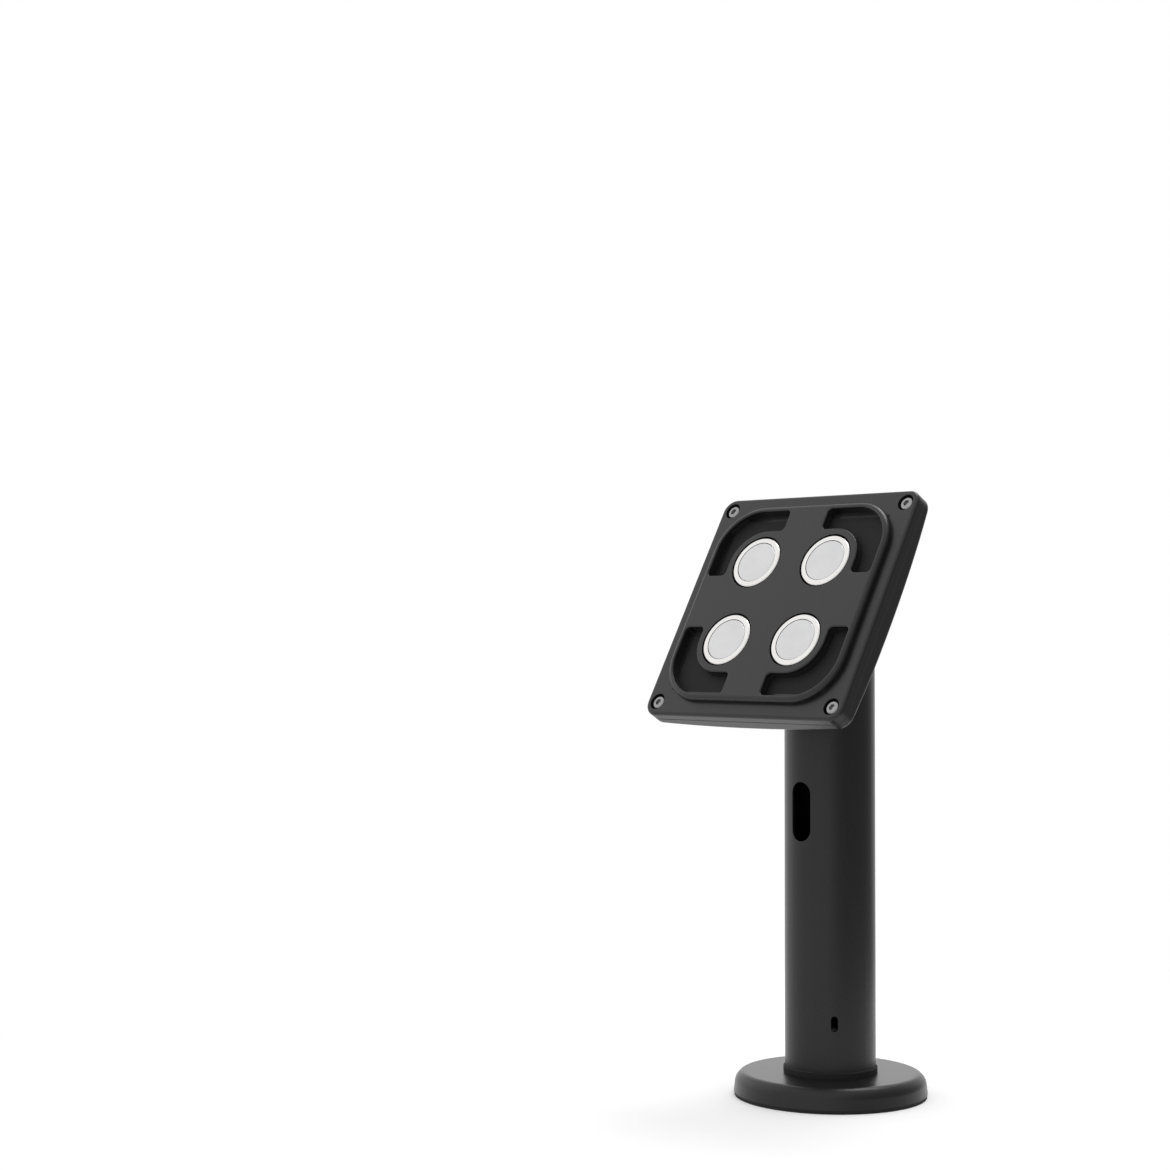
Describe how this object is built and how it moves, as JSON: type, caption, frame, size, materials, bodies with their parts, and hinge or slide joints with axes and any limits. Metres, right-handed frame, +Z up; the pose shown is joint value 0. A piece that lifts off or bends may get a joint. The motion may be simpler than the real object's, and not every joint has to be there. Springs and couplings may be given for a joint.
{
  "type": "tablet security kiosk stand",
  "caption": "Short round pole on a disc foot with a cable slot, and a square magnetic head that tilts and turns to hold a tablet.",
  "frame": {"origin": "on the counter under the pole's axis, at the centre of the foot's underside", "axes": "+Z up the pole, -Y the way the cable slot and the head face, +X to the right of a person behind the stand's face as seen in the picture"},
  "size_m": [0.142, 0.1318, 0.3363],
  "materials": {
    "pad_rubber": "matt",
    "collar_rubber": "matt",
    "black_powder_coat": "satin black powder coat",
    "black_casting": "satin black paint on a die casting",
    "black_screws": "black oxide",
    "zinc_steel": "zinc plated",
    "zinc_screws": "zinc plated",
    "bright_screws": "polished stainless",
    "spring_steel": "plain",
    "plug_aluminium": "turned",
    "washer_nylon": "natural nylon",
    "bush_bronze": "sintered bronze",
    "shell_plastic": "satin moulded black",
    "nickel_cup": "bright nickel",
    "nickel_core": "satin nickel"
  },
  "bodies": {
    "stand": {"base_pad": "pad_rubber", "base_plate": "zinc_steel", "base_cover": "black_powder_coat", "foot_collar": "collar_rubber", "foot_plug": "plug_aluminium", "foot_screws": "zinc_screws", "foot_lock_screws": "black_screws", "pole_tube": "black_powder_coat", "neck_yoke": "black_casting", "yoke_screws": "black_screws", "hinge_pin": "black_screws", "hinge_nut": "zinc_screws", "hinge_springs": "spring_steel", "hinge_washers": "washer_nylon"},
    "arm": {"tilt_arm": "black_casting", "knuckle_bushes": "bush_bronze", "turn_disc": "washer_nylon", "turn_stop_pin": "zinc_screws", "turn_washer": "zinc_steel", "turn_spring": "spring_steel", "turn_nut": "zinc_screws"},
    "head": {"rear_housing": "shell_plastic", "front_bezel": "shell_plastic", "bezel_screws": "bright_screws", "magnet_plate": "zinc_steel", "magnet_plate_screws": "zinc_screws", "magnet_cups": "nickel_cup", "magnet_cores": "nickel_core", "magnet_screws": "zinc_screws", "turn_bush": "washer_nylon"}
  },
  "joints": [
    {"name": "head_tilt", "type": "hinge", "parent": "stand", "child": "arm", "pos_m": [0, 0, 0.2508], "axis": [-1, 0, 0], "range_deg": [-30, 45]},
    {"name": "head_turn", "type": "hinge", "parent": "arm", "child": "head", "pos_m": [0, 0, 0.2508], "axis": [0, -0.866, 0.5], "range_deg": [-90, 90]}
  ]
}
